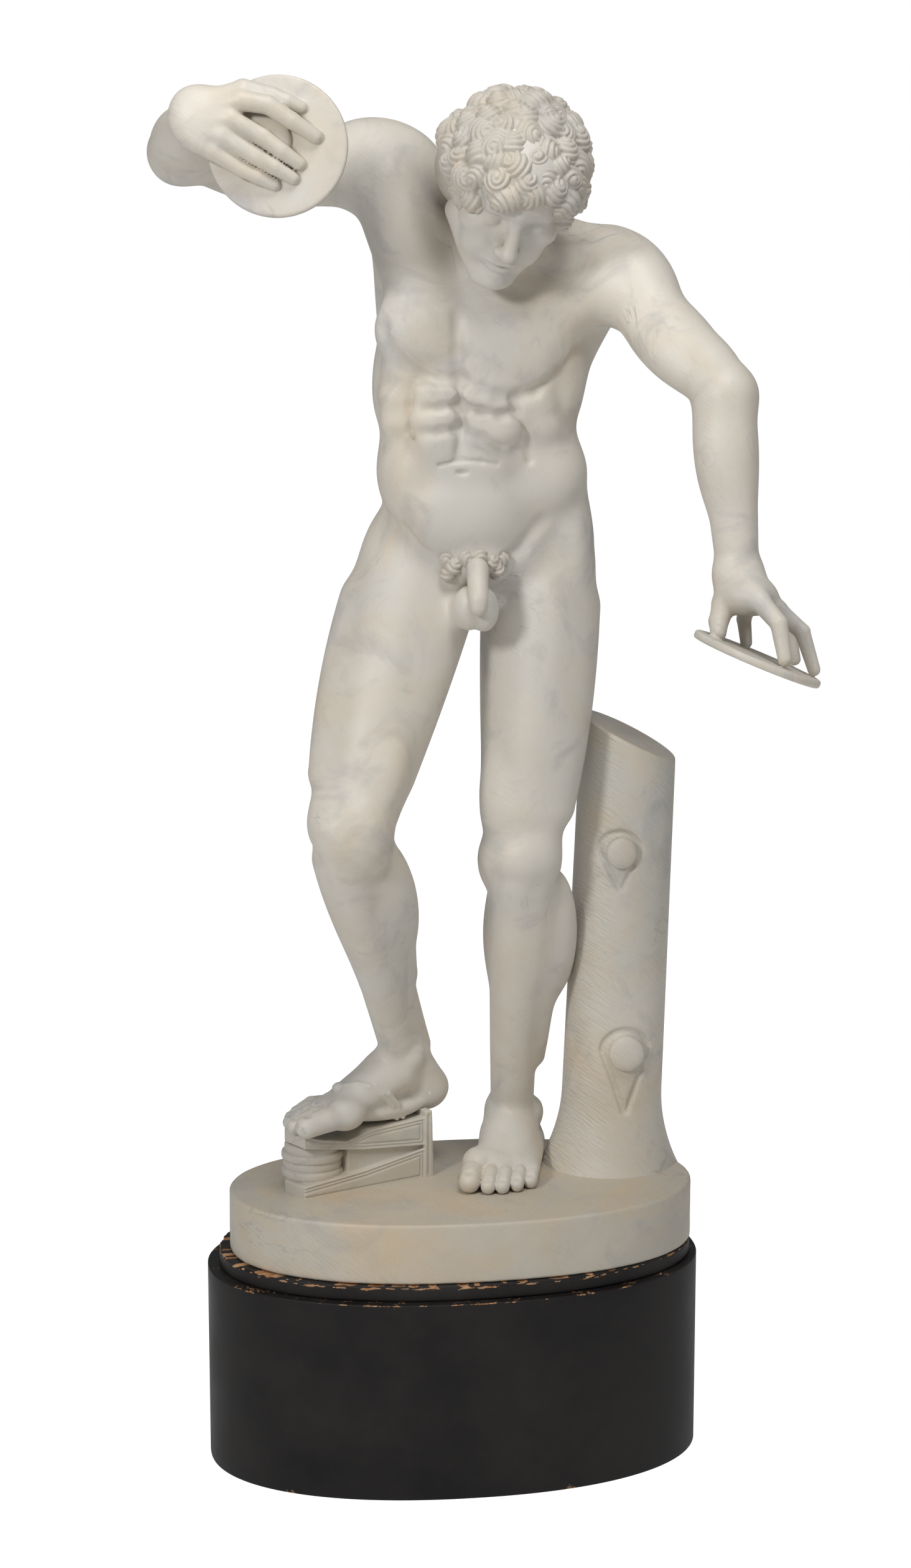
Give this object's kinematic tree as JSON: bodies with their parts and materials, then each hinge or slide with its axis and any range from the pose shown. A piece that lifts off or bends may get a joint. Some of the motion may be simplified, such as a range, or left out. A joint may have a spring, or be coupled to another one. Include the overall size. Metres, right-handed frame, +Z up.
{
  "type": "classical marble statue",
  "caption": "Marble statue of a dancing nude youth with a disc in each hand and a foot clapper, carved in one with a tree stump and an oval plinth, on an oval black-painted wooden pedestal.",
  "frame": {"origin": "middle of the flat underside of the pedestal drum, on the floor", "axes": "+Z up along the figure's height; the figure faces -Y; +X along the long axis of the oval, toward the tree stump"},
  "size_m": [0.76, 0.517, 1.7159],
  "materials": {
    "marble": "satin",
    "board_paint": "satin",
    "drum_paint": "satin"
  },
  "bodies": {
    "root": {"statue": "marble", "pedestal_board": "board_paint", "pedestal_drum": "drum_paint"}
  },
  "joints": []
}
